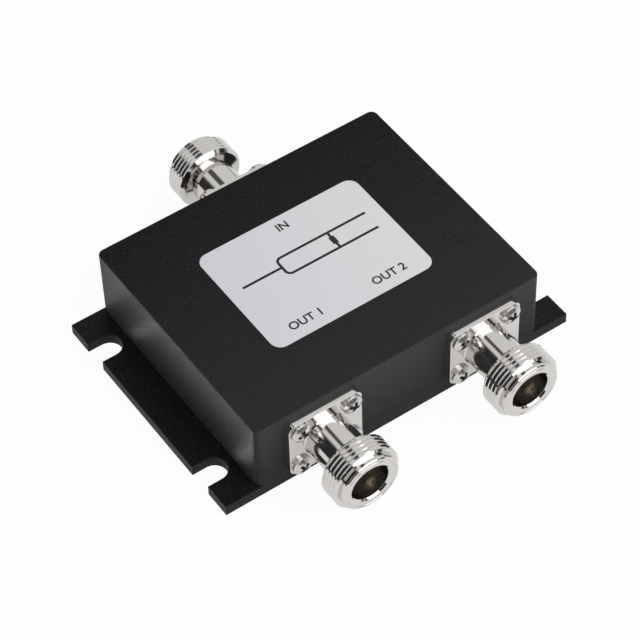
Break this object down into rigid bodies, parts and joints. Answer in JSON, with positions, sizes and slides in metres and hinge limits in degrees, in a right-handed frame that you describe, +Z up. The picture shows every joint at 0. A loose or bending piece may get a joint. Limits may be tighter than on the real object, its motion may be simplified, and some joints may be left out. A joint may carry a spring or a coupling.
{
  "type": "rf power splitter",
  "caption": "Black metal RF power splitter box with slotted mounting wings, nickel coaxial jacks on its front and back walls and a silver label on top.",
  "frame": {"origin": "centre of the underside", "axes": "+X from wing to wing, +Y from the output jacks to the input jack, +Z up out of the label"},
  "size_m": [0.088, 0.0956, 0.0212],
  "materials": {
    "black_coat": "satin fine-grained black coat",
    "jack_nickel": "bright nickel plate",
    "screw_nickel": "bright nickel plate",
    "insulator_white": "plain white fluoropolymer",
    "contact_gold": "thin gold plate",
    "label_silver": "satin silver film",
    "screw_steel": "zinc plate",
    "board_laminate": "bare laminate",
    "track_copper": "bare copper",
    "chip_black": "matte film on ceramic",
    "solder_tin": "satin tin solder"
  },
  "bodies": {
    "root": {"housing": "black_coat", "bottom_cover": "black_coat", "cover_screws": "screw_steel", "circuit_board": "board_laminate", "track_pattern": "track_copper", "isolation_resistors": "chip_black", "board_screws": "screw_steel", "solder_joints": "solder_tin", "label": "label_silver", "input_shell": "jack_nickel", "input_insulator": "insulator_white", "input_contact": "contact_gold", "input_screws": "screw_nickel", "output_1_shell": "jack_nickel", "output_1_insulator": "insulator_white", "output_1_contact": "contact_gold", "output_1_screws": "screw_nickel", "output_2_shell": "jack_nickel", "output_2_insulator": "insulator_white", "output_2_contact": "contact_gold", "output_2_screws": "screw_nickel"}
  },
  "joints": []
}
